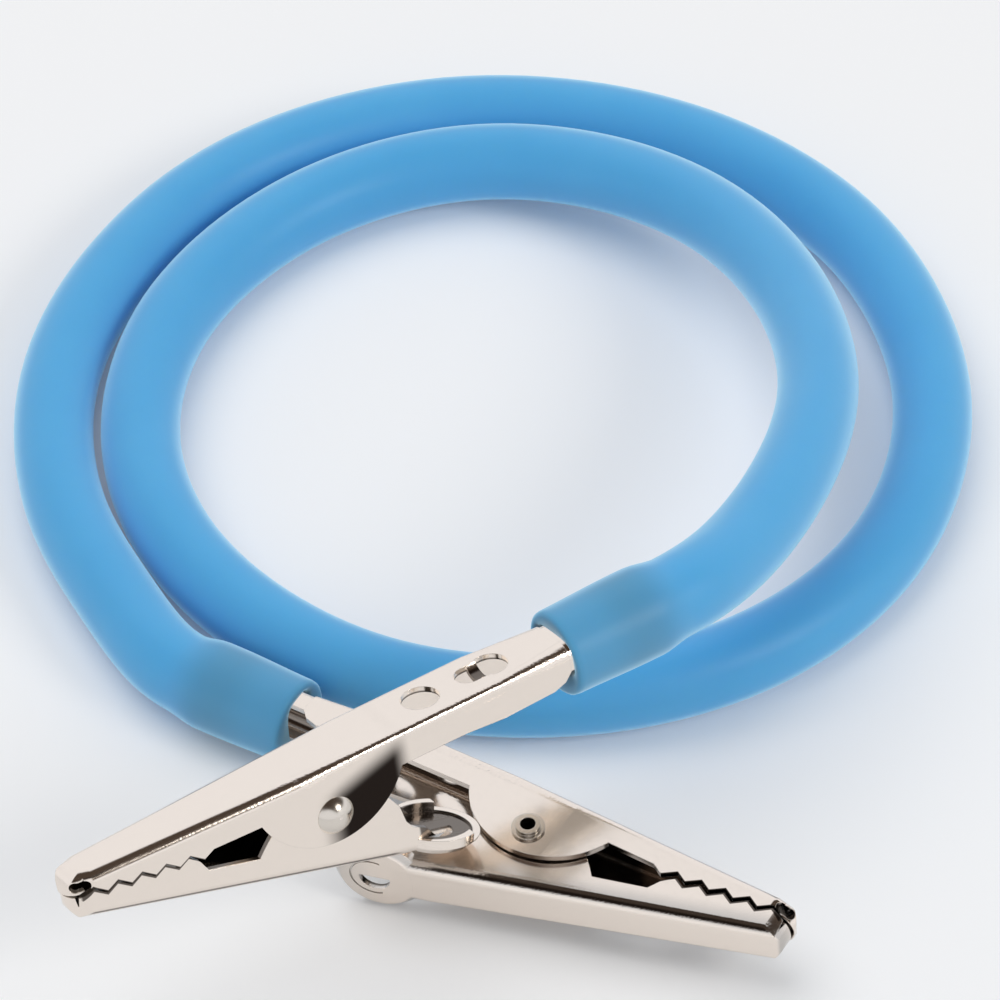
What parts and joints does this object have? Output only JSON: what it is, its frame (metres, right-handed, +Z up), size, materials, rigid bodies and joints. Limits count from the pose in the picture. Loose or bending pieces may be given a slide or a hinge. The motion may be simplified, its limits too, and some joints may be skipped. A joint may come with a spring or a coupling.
{
  "type": "flexible holder cord with spring clips",
  "caption": "Soft light-blue tube lying in loose turns, with a toothed nickel-plated spring clip pushed into each end; each clip opens by its thumb lever.",
  "frame": {"origin": "centre of the clips' bounding box in plan, on the surface that the tube lies on", "axes": "+X to the right along the clips' longest extent, +Y away from the viewer towards the back of the loops, +Z up"},
  "size_m": [0.0723, 0.0989, 0.0199],
  "materials": {
    "silicone": "satin",
    "plated_sheet": "polished",
    "plated_rivet": "polished",
    "spring_wire": "satin"
  },
  "bodies": {
    "cord": {"tube": "silicone", "clip_a_upper_jaw": "plated_sheet", "clip_a_rivet": "plated_rivet", "clip_a_spring": "spring_wire", "clip_b_upper_jaw": "plated_sheet", "clip_b_rivet": "plated_rivet", "clip_b_spring": "spring_wire"},
    "clip_a_jaw": {"clip_a_lower_jaw": "plated_sheet"},
    "clip_b_jaw": {"clip_b_lower_jaw": "plated_sheet"}
  },
  "joints": [
    {"name": "clip_a_hinge", "type": "hinge", "parent": "cord", "child": "clip_a_jaw", "pos_m": [-0.0078, -0.00575, 0.0148], "axis": [0.5392, -0.7969, 0.2723], "range_deg": [0, 30], "stiffness_Nm_per_rad": 0.03, "springref_deg": -57.3, "deforming": ["clip_a_spring"]},
    {"name": "clip_b_hinge", "type": "hinge", "parent": "cord", "child": "clip_b_jaw", "pos_m": [0.0069, -0.00105, 0.0042], "axis": [0.0681, 0.044, -0.9967], "range_deg": [0, 30], "stiffness_Nm_per_rad": 0.03, "springref_deg": -57.3, "deforming": ["clip_b_spring"]}
  ]
}
